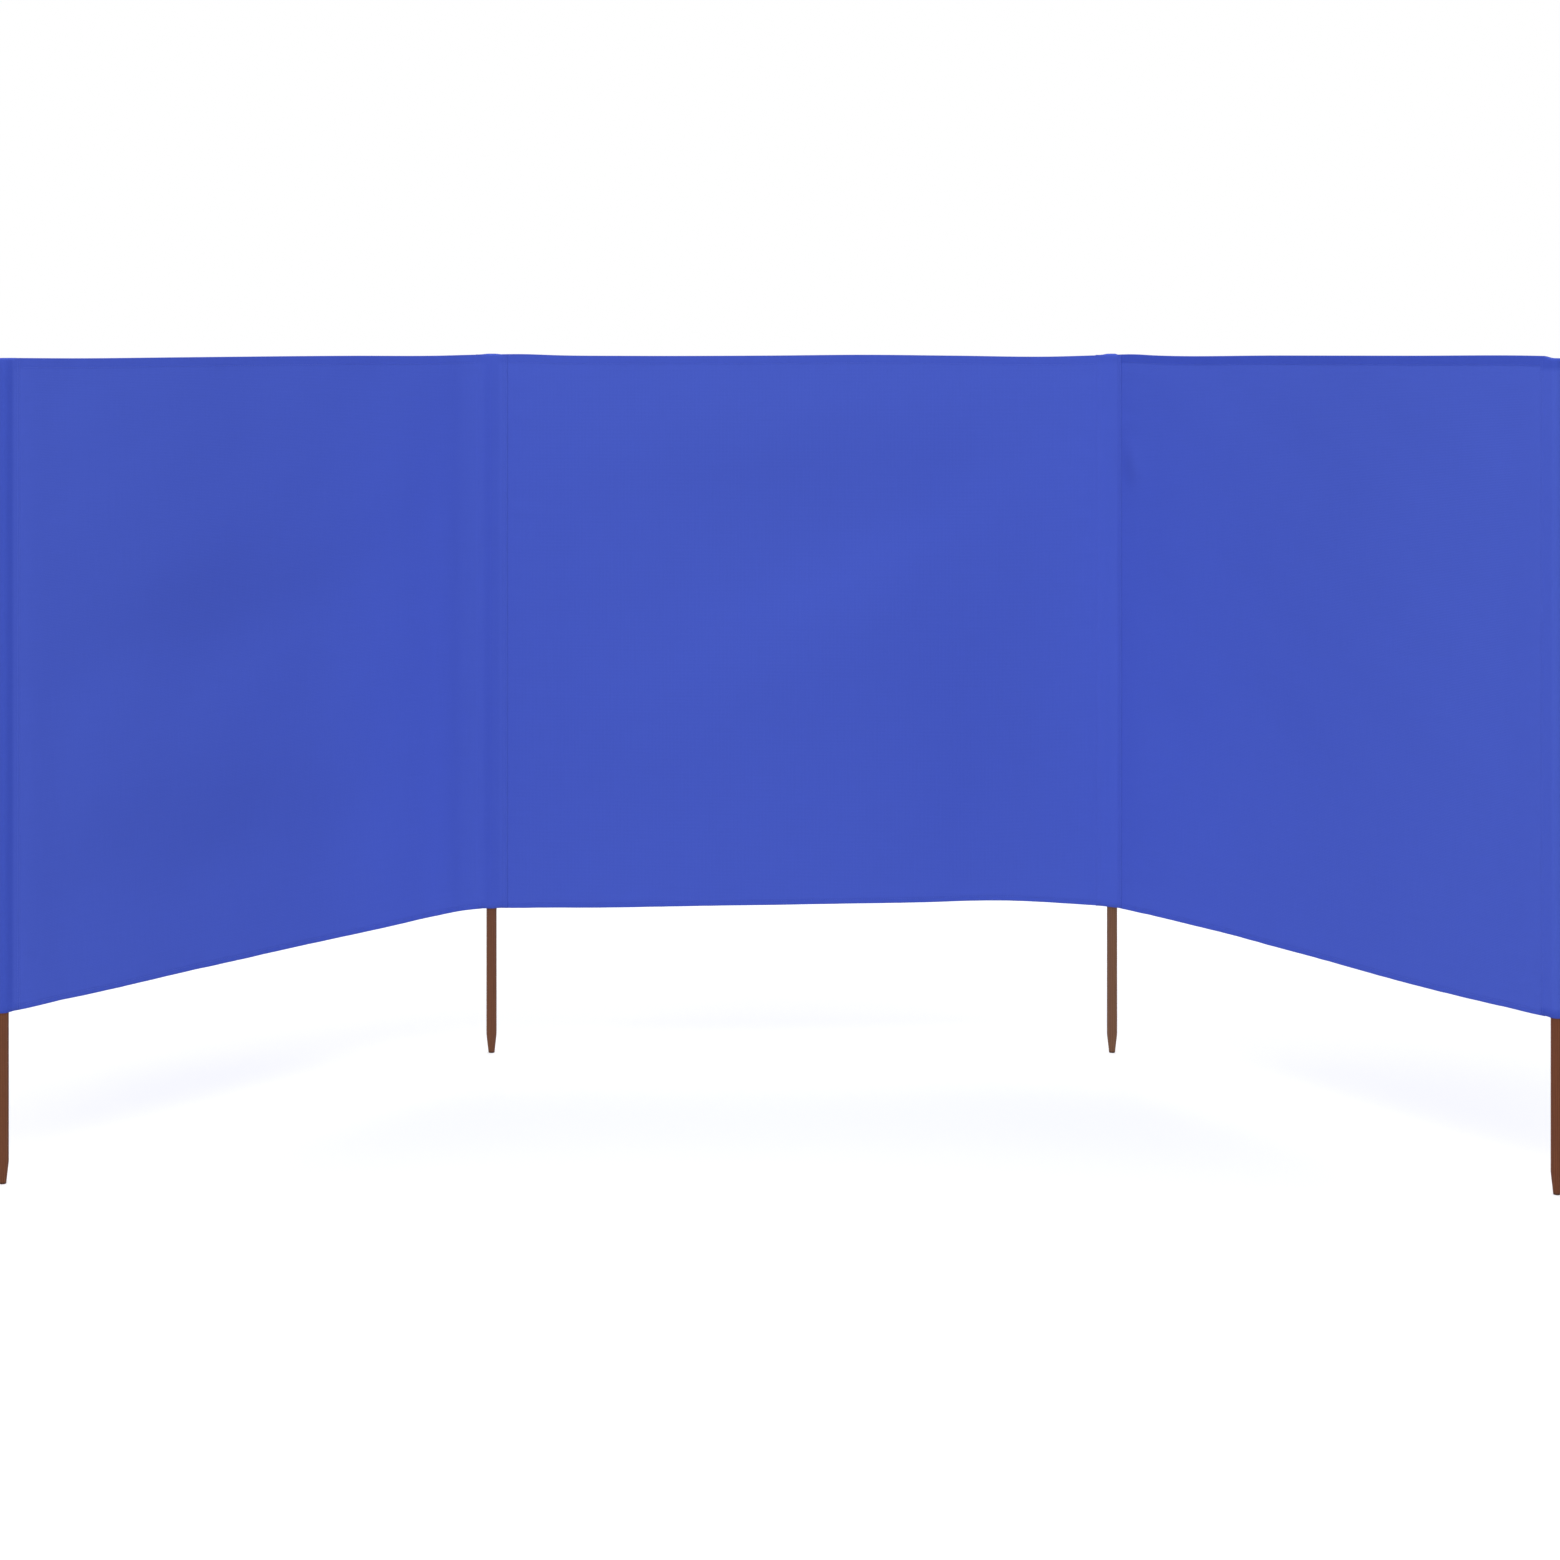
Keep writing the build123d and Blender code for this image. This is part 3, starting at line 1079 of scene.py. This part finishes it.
@dataclass(frozen=True)
class BayEnd:
    """The left or right end of a bay's sheet, as the sleeve there meets it."""

    sheet: BaySheet
    is_left: bool

    @property
    def pole(self) -> np.ndarray:
        """Where the pole stands, in plan."""
        return self.sheet.line.left if self.is_left else self.sheet.line.right

    @property
    def way(self) -> np.ndarray:
        """The direction from the pole to the bay's cloth, in plan."""
        return self.sheet.line.before if self.is_left else -self.sheet.line.after

    @property
    def degrees(self) -> float:
        """The same direction, as an angle from +X."""
        return math.degrees(math.atan2(self.way[1], self.way[0]))

    def painted_light_and_shade(self, height: np.ndarray) -> np.ndarray:
        """The painted light and shade that the colour of the bay's cloth is multiplied by beside the seam,
        at some heights.
        """
        inset = self.sheet.seam_end
        return self.sheet.painted_light_and_shade(inset if self.is_left else self.sheet.line.length - inset, height)


@dataclass(frozen=True)
class SewnEnd:
    """One end of a ply, a strip of a sleeve: the bay's end and face that it is sewn to, and at what angle.

    The side is -1 where the ply starts and 1 where it ends, clockwise. A ply that runs on there passes into
    the bay's own cloth, and shows no edge.
    """

    bay: BayEnd
    face: Face
    side: int
    degrees: float
    runs_on: bool

    @property
    def sideways(self) -> np.ndarray:
        """The direction from the bay's cloth to the ply, in plan."""
        return turned_left(self.bay.way) * self.side


Ply = tuple[SewnEnd, SewnEnd]


@dataclass
class Sleeve:
    """A pole's sleeve: strips of cloth round it, sewn to each bay that meets there and closed over the top.

    The bays' ends go clockwise past the front: for a pole between two bays the first ply, from the first
    bay to the second, is then the one at the front. That ply runs on into the cloth of the second bay, the
    one on its left, so the front shows a seam only on the right. At an end pole the bay's own cloth runs on
    round the pole, so the front shows no edge there at all.
    """

    name: str
    body: str
    bays: tuple[BayEnd, ...]
    low: float
    high: float
    seed: int
    shift: float
    # Painted shade round the pole, for the pole under the cloth or a side turned away from the light, and on
    # the hems
    tone: float
    hem_shade: float = 0.35
    top: float = 1500.8 * MM
    dome: float = 6.4 * MM
    # How far the fold over the top has closed, row by row
    closing: tuple[float, ...] = (0.3, 0.5, 0.65, 0.78, 0.88, 0.95, 0.985, 1.0)
    tip_reach: float = 7 * MM
    ring_radius: float = 12.2 * MM
    slack: Ripples = Ripples(0.5 * MM, 60 * MM, 260 * MM, 10.0, 90.0)
    # Where the painted shade round the pole ends, and how softly
    ring_tone_end: float = 15 * MM
    ring_tone_ease: float = 6 * MM
    seam_reach: float = 24 * MM
    seam_width: float = 11 * MM
    seam_gap: float = 0.74 * MM
    hem_gap: float = 0.95 * MM
    hem_ease: float = 10 * MM
    # How deep a ply that runs on dips into the bay's cloth, in seam gaps
    dip: float = 1.2
    # How far apart the front and rear stay in the closed fold, in thicknesses of each
    fold_gap: float = 0.4
    # What keeps the closed top's faces from having no area
    least_radius: float = 0.05 * MM
    least_spread: float = 0.02
    stitch_start: float = 4 * MM
    stitch_end: float = 6 * MM
    row_spacing: float = 9 * MM
    leg_columns: int = 4
    run_columns: int = 4
    arc_columns: int = 15
    whole_arc_columns: int = 25

    @property
    def is_end(self) -> bool:
        """Whether this is an end pole's sleeve, with one bay only."""
        return len(self.bays) == 1

    def gap(self, face: Face, height: np.ndarray) -> np.ndarray:
        """How far a ply's seam lies from the pole's middle, to its own side.

        Args:
            face: The face that the ply is sewn to.
            height: Heights, because at the rear the hems lie under the ply.

        Returns:
            Distances.
        """
        if face is Face.FRONT:
            return self.shift + self.seam_gap + 0 * height
        from_edge = np.minimum(height - self.low, self.high - height)
        over_hem = 1 - ease((from_edge - CLOTH.top_hem) / self.hem_ease)
        return self.seam_gap - self.shift + self.hem_gap * over_hem

    def sunk(self, end: SewnEnd, past_seam: np.ndarray | float) -> np.ndarray | float:
        """How far a ply dips into the bay's cloth, at distances past the start of the seam."""
        return past_seam / self.seam_width * self.dip * self.seam_gap * end.runs_on

    def plies(self) -> list[Ply]:
        """Lists the sleeve's plies.

        Returns:
            Each ply by its start and its end, the one at the front first.
        """
        first = self.bays[0]
        last = self.bays[-1]
        if self.is_end:
            # Clockwise, the ply leaves a bay's left end on the front and its right end on the rear
            faces = (Face.FRONT, Face.REAR) if first.is_left else (Face.REAR, Face.FRONT)
            runs = [(first, first, 360.0, *faces)]
        else:
            turn = (first.degrees - last.degrees) % 360
            front = (first, last, turn, Face.FRONT, Face.FRONT)
            runs = [front, (last, first, 360 - turn, Face.REAR, Face.REAR)]
        plies = []
        for start, end, turn, start_face, end_face in runs:
            is_one_cloth = self.is_end and start_face is Face.FRONT
            sewn_start = SewnEnd(start, start_face, -1, start.degrees, runs_on=is_one_cloth)
            runs_on = end_face is Face.FRONT
            plies.append((sewn_start, SewnEnd(end, end_face, 1, start.degrees - turn, runs_on)))
        return plies

    def section(self, ply: Ply, radius: np.ndarray, height: np.ndarray, closed: np.ndarray) -> np.ndarray:
        """Draws a ply in plan for each row: in along one seam, round the pole and out along the next.

        Args:
            ply: The ply.
            radius: The radius round the pole, for each row.
            height: Each row's height.
            closed: How far each row is folded shut, from 0 to 1.

        Returns:
            Rows of points in plan, about the pole.
        """
        reach = self.seam_reach
        legs = np.linspace(self.seam_width, 0, self.leg_columns)
        # From a seam to the pole the front and rear come together as the top is folded shut
        apart = (self.gap(Face.FRONT, height) + self.gap(Face.REAR, height)) / 2
        apart = apart - self.fold_gap * CLOTH.thickness
        sewn = []
        pinch = []
        touch = []
        for end in ply:
            gap = self.gap(end.face, height)
            out = gap[:, None] - self.sunk(end, legs)
            sewn.append(end.bay.way * (reach + legs)[None, :, None] + end.sideways * out[..., None])
            pinch.append(end.sideways * (apart * closed**2)[:, None, None])
            lean = np.arctan2(gap, reach) + np.arccos(np.clip(radius / np.hypot(reach, gap), 0, 1))
            touch.append(math.radians(end.degrees) + end.side * lean)
        share = np.linspace(0, 1, self.whole_arc_columns if self.is_end else self.arc_columns)
        middle = (touch[0] + touch[1]) / 2
        spread = np.maximum(touch[0] - touch[1], self.least_spread)
        angles = middle[:, None] + spread[:, None] * (0.5 - share)
        arc = np.stack([np.cos(angles), np.sin(angles)], axis=-1) * radius[:, None, None]
        leg_in = sewn[0]
        leg_out = sewn[1][:, ::-1]
        steps = np.linspace(0, 1, self.run_columns + 2)[1:-1][None, :, None]
        run_in = (leg_in[:, -1:] - pinch[0]) * (1 - steps) + arc[:, :1] * steps
        run_out = arc[:, -1:] * (1 - steps) + (leg_out[:, :1] - pinch[1]) * steps
        return np.concatenate([leg_in, run_in, arc, run_out, leg_out], axis=1)

    def build(self, material: Material) -> Object:
        """Makes the sleeve's plies, a little slack along the pole and folded shut over its end.

        Args:
            material: The cloth's finish.

        Returns:
            The sleeve, which doesn't ride on anything yet.
        """
        shut_from = self.top - self.dome
        rows = round((shut_from - self.low) / self.row_spacing) + 1
        straight = np.linspace(self.low, shut_from, rows)
        closed = np.concatenate([np.zeros(rows), self.closing])
        level = np.concatenate([straight, np.full(len(self.closing), shut_from)])
        loose = np.abs(self.slack.depth_at(self.seed, 0 * level, level))
        radius = (self.ring_radius + loose) * np.cbrt(1 - closed**3)
        grids = []
        for ply in self.plies():
            plan = self.section(ply, np.maximum(radius, self.least_radius), level, closed)
            from_pole = np.linalg.norm(plan, axis=-1)
            # The top stands highest over the pole's end and falls away along the seams
            from_tip = ease((from_pole - self.tip_reach) / (self.seam_reach - self.tip_reach))
            top = self.top + (self.high - self.top) * from_tip
            height = level[:, None] + closed[:, None] * (top - shut_from)
            points = np.concatenate([plan + self.bays[0].pole, height[..., None]], axis=-1)
            girth = np.cumsum(np.linalg.norm(np.diff(plan[0], axis=0, prepend=plan[:1, 0]), axis=1))
            across = np.broadcast_to(girth, height.shape)
            # Painted shade round the pole and on the hems, and the bays' painted light and shade carried
            # across
            ring_tone = self.tone * (1 - ease((from_pole - self.ring_tone_end) / self.ring_tone_ease))
            is_hem = (height > self.high - CLOTH.top_hem) | (height < self.low + CLOTH.bottom_hem)
            painted_shade = np.where(is_hem, np.maximum(ring_tone, self.hem_shade), ring_tone)
            start, end = (sewn.bay.painted_light_and_shade(height) for sewn in ply)
            painted_light_and_shade = start + (end - start) * ease(across / girth[-1])
            grids.append(ClothGrid(points, across, painted_shade, painted_light_and_shade))
        piece = CLOTH.piece(f"{self.name}_sleeve_cloth", grids, material)
        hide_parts(f"{self.name}_sleeve", f"{self.name}_sleeve_top")
        return piece

    def flat_size(self) -> tuple[float, float]:
        """The size that the sleeve's plies were cut to.

        Returns:
            Their width together, and their length with the fold over the top.
        """
        radius = np.array([self.ring_radius])
        middle = np.array([(self.low + self.high) / 2])
        width = 0.0
        for ply in self.plies():
            plan = self.section(ply, radius, middle, np.zeros(1))[0]
            width += float(np.linalg.norm(np.diff(plan, axis=0), axis=1).sum())
        return width, self.high - self.low + self.ring_radius

    def stitch_runs(self, bay: BayEnd) -> list[StitchRun]:
        """The two rows of stitches on each sewn face of the seam to one bay.

        Args:
            bay: The bay's end, one of the sleeve's own.

        Returns:
            The rows.
        """
        runs = []
        heights = np.arange(self.low + self.stitch_start, self.high - self.stitch_end, STITCHES.pitch)
        upright = np.tile([0.0, 0.0, 1.0], (len(heights), 1))
        for end in (end for ply in self.plies() for end in ply):
            # Between two bays, a ply that runs on has no seam there
            is_seamless = end.runs_on and not self.is_end
            if end.bay is not bay or is_seamless:
                continue
            away = np.tile([*end.sideways, 0.0], (len(heights), 1))
            for out in (CLOTH.stitch_inset, self.seam_width - CLOTH.stitch_inset):
                lift = self.gap(end.face, heights) + CLOTH.thickness / 2 - self.sunk(end, out)
                plan = bay.pole + bay.way * (self.seam_reach + out) + end.sideways * lift[:, None]
                runs.append(StitchRun(np.column_stack([plan, heights]), upright, away))
        return runs


@dataclass(frozen=True)
class SoftLamp:
    """A square softbox: where it hangs, its power in watts and the length of its side."""

    name: str
    place: tuple[float, float, float]
    power: float
    size: float


@dataclass
class Studio:
    """A white paper floor, soft light from all round and three softboxes, and the photograph's camera."""

    paper: StudioPaper = StudioPaper()
    floor_size: float = 60.0
    floor_lines: int = 5
    ambient: float = 0.76
    lamps: tuple[SoftLamp, ...] = (
        SoftLamp("soft key", (-2.0, -7.2, 4.2), 80.0, 3.0),
        SoftLamp("overhead softbox", (0.6, -1.4, 5.0), 120.0, 5.0),
        SoftLamp("rear softbox", (0.6, 5.5, 4.0), 90.0, 3.0),
    )
    lamp_target: tuple[float, float, float] = (0.6, -0.3, 0.8)
    lens: float = 74.26
    sensor: float = 36.0
    shift_y: float = -0.2828
    camera_place: tuple[float, float, float] = (0.6197, -6.9127, 1.5329)

    def build_floor(self) -> None:
        """Lays the floor."""
        steps = np.linspace(-self.floor_size / 2, self.floor_size / 2, self.floor_lines)
        across, back = np.meshgrid(steps, steps)
        mesh = grid_mesh("studio_floor", [np.stack([across, back, 0 * across], axis=-1)])
        mesh.materials.append(self.paper.build())
        add_object("studio_floor", mesh)

    def build_light(self) -> None:
        """Sets the even light of the surroundings, which the camera sees as white, and the softboxes."""
        world = bpy.data.worlds.new("studio surroundings")
        tree = new_tree(world)
        inputs = {"Value": seen_rays(tree), "To Min": self.ambient, "To Max": 1.0}
        strength = add_node(tree, "MapRange", inputs)[0]
        surround = add_node(tree, "Background", {"Color": linear(WHITE), "Strength": strength})[0]
        add_node(tree, "OutputWorld", {"Surface": surround})
        bpy.context.scene.world = world
        for lamp in self.lamps:
            light = bpy.data.lights.new(lamp.name, "AREA")
            light.energy = lamp.power
            light.size = lamp.size
            holder = add_object(lamp.name, light)
            holder.location = lamp.place
            towards = np.array(self.lamp_target) - np.array(lamp.place)
            # A lamp shines down its own -Z
            tilt = math.atan2(math.hypot(towards[0], towards[1]), -towards[2])
            holder.rotation_euler = (tilt, 0.0, math.atan2(-towards[0], towards[1]))

    def build_camera(self) -> None:
        """Sets the camera level in front of the screen, with the frame moved down to the object."""
        lens = bpy.data.cameras.new("photograph")
        lens.lens = self.lens
        lens.sensor_width = self.sensor
        lens.shift_y = self.shift_y
        camera = add_object("photograph", lens)
        camera.location = self.camera_place
        camera.rotation_euler = (math.pi / 2, 0.0, 0.0)
        bpy.context.scene.camera = camera
        bpy.context.scene.view_settings.view_transform = "Standard"


@dataclass
class Windbreak:
    """The whole screen: four poles, a sleeve on each, and three bays of cloth."""

    back_belly_share: float = 0.8
    back_belly_depth: float = 50 * MM
    back_belly_radius: float = 900 * MM
    right_belly_share: float = 0.4
    right_belly_depth: float = 22 * MM
    right_belly_radius: float = 6000 * MM
    left_knee_reach: float = 60 * MM
    left_knee_degrees: float = 18.0
    left_knee_radius: float = 100 * MM
    end_top: float = 1498 * MM
    end_sunk: float = 4 * MM
    end_shift: float = 8 * MM
    left_inner_shift: float = 5 * MM
    right_inner_shift: float = 2 * MM
    turn_height: float = 900 * MM
    left_turn_reach: float = 95 * MM
    right_turn_reach: float = 80 * MM
    canvas: PolyesterCanvas = PolyesterCanvas()
    thread: PolyesterThread = PolyesterThread()
    wood: StainedPine = StainedPine()

    @cached_property
    def lines(self) -> dict[str, PlanLine]:
        """Draws the three bays in plan, as the solids have them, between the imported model's poles.

        Returns:
            The lines by their bays' names.
        """
        names = ("left_end", "left_inner", "right_inner", "right_end")
        left_end, left_inner, right_inner, right_end = map(pole_place, names)
        # The left wing's cloth comes forward from its inner pole by a small angle first, then by the wing's
        first_way = math.radians(180 + self.left_knee_degrees)
        knee = left_inner + self.left_knee_reach * np.array([math.cos(first_way), math.sin(first_way)])
        across = right_inner - left_inner
        belly = turned_left(unit(across)) * self.back_belly_depth
        back_bend = left_inner + across * self.back_belly_share + belly
        across = right_end - right_inner
        belly = turned_left(unit(across)) * self.right_belly_depth
        right_bend = right_inner + across * self.right_belly_share + belly
        return {
            "left_wing": PlanLine(left_end, knee, left_inner, self.left_knee_radius),
            "back": PlanLine(left_inner, back_bend, right_inner, self.back_belly_radius),
            "right_wing": PlanLine(right_inner, right_bend, right_end, self.right_belly_radius),
        }

    def sheets(self) -> dict[str, BaySheet]:
        """The three bays' sheets, with the billows and the painted light and shade that the photograph's
        tones suggest.

        Returns:
            The sheets by their bays' names.
        """
        low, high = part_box("back_cloth")
        left = BaySheet(
            "left_wing",
            self.lines["left_wing"],
            low.z,
            high.z,
            seed=11,
            left_shift=self.end_shift,
            right_shift=self.left_inner_shift,
            top_line=EdgeLine((0.0, 0.14, 0.35, 0.7, 0.9, 1.0), (1.0, -0.6, 0.0, 0.8, 0.0, 2.4)),
            bottom_line=EdgeLine((0.0, 0.14, 0.35, 0.7, 0.9, 1.0), (1.5, -2.0, -3.0, -3.0, -0.6, 1.5)),
            billows=(
                SoftPatch(0.52, 0.50, 0.30, 0.60, 24 * MM),
                SoftPatch(0.42, 0.55, 0.30, 0.085, 8 * MM, 10.0),
                SoftPatch(0.40, 0.18, 0.30, 0.085, 8 * MM, 4.0),
            ),
            # Painted light at the knee, which lifts the corner's shade, and soft patches of painted shade
            light_and_shade_patches=(
                SoftPatch(0.80, 0.25, 0.13, 0.60, 0.08),
                SoftPatch(0.895, 0.20, 0.035, 0.70, 0.05),
                SoftPatch(0.965, 0.85, 0.020, 0.40, -0.02),
                SoftPatch(0.28, 0.50, 0.25, 0.80, -0.025),
                SoftPatch(0.46, 0.60, 0.25, 0.07, -0.03, 4.0),
                SoftPatch(0.44, 0.22, 0.28, 0.09, -0.03),
            ),
        )
        back = BaySheet(
            "back",
            self.lines["back"],
            low.z,
            high.z,
            seed=23,
            left_shift=self.left_inner_shift,
            right_shift=self.right_inner_shift,
            top_line=EdgeLine(
                (0.0, 0.05, 0.11, 0.22, 0.45, 0.6, 0.74, 0.9, 1.0),
                (2.4, 2.8, 0.2, -1.0, -0.4, 1.2, -0.6, -2.6, 1.4),
            ),
            bottom_line=EdgeLine((0.0, 0.15, 0.4, 0.7, 0.86, 1.0), (1.5, -0.4, 1.8, 5.0, 8.4, 4.5)),
            billows=(
                SoftPatch(0.50, 0.45, 0.30, 0.09, -7 * MM, 24.0),
                SoftPatch(0.45, 0.86, 0.36, 0.08, -6 * MM, 8.0),
                SoftPatch(0.82, 0.16, 0.10, 0.20, 8 * MM),
            ),
            # Painted light beside the right pole and in a slanting band, and painted shade near the top
            light_and_shade_patches=(
                SoftPatch(1.00, 0.42, 0.08, 0.45, 0.06),
                SoftPatch(0.42, 0.86, 0.30, 0.20, -0.035),
                SoftPatch(0.60, 0.63, 0.26, 0.05, 0.03, 25.0),
            ),
        )
        right = BaySheet(
            "right_wing",
            self.lines["right_wing"],
            low.z,
            high.z,
            seed=37,
            left_shift=self.right_inner_shift,
            right_shift=self.end_shift,
            top_line=EdgeLine((0.0, 0.05, 0.11, 0.4, 0.7, 0.96, 1.0), (1.4, 2.8, 0.6, 2.2, 3.6, 5.2, 4.6)),
            bottom_line=EdgeLine(
                (0.0, 0.1, 0.25, 0.4, 0.6, 0.85, 1.0),
                (4.5, 4.2, 2.6, 0.0, -2.6, -0.4, 7.0),
            ),
            billows=(
                SoftPatch(0.62, 0.55, 0.26, 0.20, -9 * MM, -20.0),
                SoftPatch(0.30, 0.35, 0.26, 0.24, 8 * MM),
            ),
            dimples=(SoftPatch(0.056, 0.804, 0.018, 0.028, -4 * MM, 8.0),),
            # The pinch's painted shadow, painted light beside the inner pole and painted shade near the top
            light_and_shade_patches=(
                SoftPatch(0.05, 0.804, 0.016, 0.022, -0.06, 8.0),
                SoftPatch(0.00, 0.32, 0.35, 0.42, 0.065),
                SoftPatch(0.58, 0.84, 0.28, 0.20, -0.04),
            ),
            # The top hem gets the full painted shade, for a hem that leans forward into shade
            top_hem_shade=1.0,
        )
        return {sheet.name: sheet for sheet in (left, back, right)}

    def sleeves(self, sheets: dict[str, BaySheet]) -> tuple[Sleeve, ...]:
        """The four sleeves, each with the ends of the bays that it is sewn to.

        Args:
            sheets: The bays' sheets.

        Returns:
            The sleeves from left to right.
        """
        low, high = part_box("back_cloth")
        left, back, right = sheets["left_wing"], sheets["back"], sheets["right_wing"]
        return (
            Sleeve(
                "left_end",
                "left_wing",
                (BayEnd(left, is_left=True),),
                low.z + 1.5 * MM,
                high.z + 1.0 * MM,
                seed=3,
                shift=self.end_shift,
                # The whole sleeve gets painted shade, for its side turned away from the light
                tone=1.0,
                top=self.end_top,
            ),
            Sleeve(
                "left_inner",
                "left_wing",
                (BayEnd(back, is_left=True), BayEnd(left, is_left=False)),
                low.z + 1.5 * MM,
                high.z + 2.4 * MM,
                seed=4,
                shift=self.left_inner_shift,
                # Painted shade on the sleeve round the pole, for the pole seen through the cloth
                tone=0.3,
            ),
            Sleeve(
                "right_inner",
                "right_wing",
                (BayEnd(right, is_left=True), BayEnd(back, is_left=False)),
                low.z + 4.5 * MM,
                high.z + 1.4 * MM,
                seed=5,
                shift=self.right_inner_shift,
                tone=0.0,
            ),
            Sleeve(
                "right_end",
                "right_wing",
                (BayEnd(right, is_left=False),),
                low.z + 7.5 * MM,
                high.z + 4.6 * MM,
                seed=6,
                shift=self.end_shift,
                tone=0.0,
                # Painted shade on the hems, as on the right wing's top hem
                hem_shade=1.0,
                top=self.end_top,
            ),
        )

    def carry(self, piece: Object, body: str, turns: bool) -> None:
        """Lets a cloth piece move with its body, or, if it reaches the pole where the wing turns, leaves it
        in place.

        Args:
            piece: The piece.
            body: The body.
            turns: Whether the piece reaches the pole where the wing turns.
        """
        if not turns:
            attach(piece, body)
            return
        line = self.lines[body]
        if body == "left_wing":
            pole, way, reach = line.right, -line.after, self.left_turn_reach
        else:
            pole, way, reach = line.left, line.before, self.right_turn_reach
        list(pole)
        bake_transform(piece)

    def build_poles(self) -> list[Object]:
        """Turns the four poles. The right inner one took less of the red in the stain.

        Returns:
            The poles from left to right.
        """
        material = self.wood.build()
        poles = (
            Pole("left_end", "left_wing", stain=0.1, seed=1, sunk=self.end_sunk),
            Pole("left_inner", "back_bay", stain=0.3, seed=2),
            Pole("right_inner", "back_bay", stain=0.8, seed=3),
            Pole("right_end", "right_wing", stain=0.0, seed=4, sunk=self.end_sunk),
        )
        return [pole.build(material) for pole in poles]

    def build_cloth(self) -> list[Object]:
        """Makes the sheets, the sleeves and their stitching, and lets those that don't reach a turning pole
        ride on their bodies.

        Returns:
            The pieces.
        """
        sheets = self.sheets()
        sleeves = self.sleeves(sheets)
        canvas = self.canvas.build()
        thread = self.thread.build()
        pieces = []
        for name, sheet in sheets.items():
            is_wing = name != "back"
            cloth = sheet.build(canvas)
            runs = sheet.stitch_runs()
            for sleeve in sleeves:
                for end in sleeve.bays:
                    if end.sheet is sheet:
                        runs.extend(sleeve.stitch_runs(end))
            stitches = new_piece(STITCHES.mesh(f"{name}_stitches", runs), thread, Slot.CLOTH)
            for piece in (cloth, stitches):
                self.carry(piece, name if is_wing else "back_bay", turns=is_wing)
                pieces.append(piece)
            sheet.flat_size()
        for sleeve in sleeves:
            cloth = sleeve.build(canvas)
            self.carry(cloth, sleeve.body, turns=not sleeve.is_end)
            sleeve.flat_size()
            pieces.append(cloth)
        return pieces


def main() -> None:
    """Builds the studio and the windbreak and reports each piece."""
    logging.basicConfig(level=logging.INFO, format="%(message)s")
    studio = Studio()
    studio.build_camera()
    studio.build_floor()
    studio.build_light()
    windbreak = Windbreak()
    for piece in windbreak.build_poles() + windbreak.build_cloth():
        report(piece)


if __name__ == "__main__":
    main()
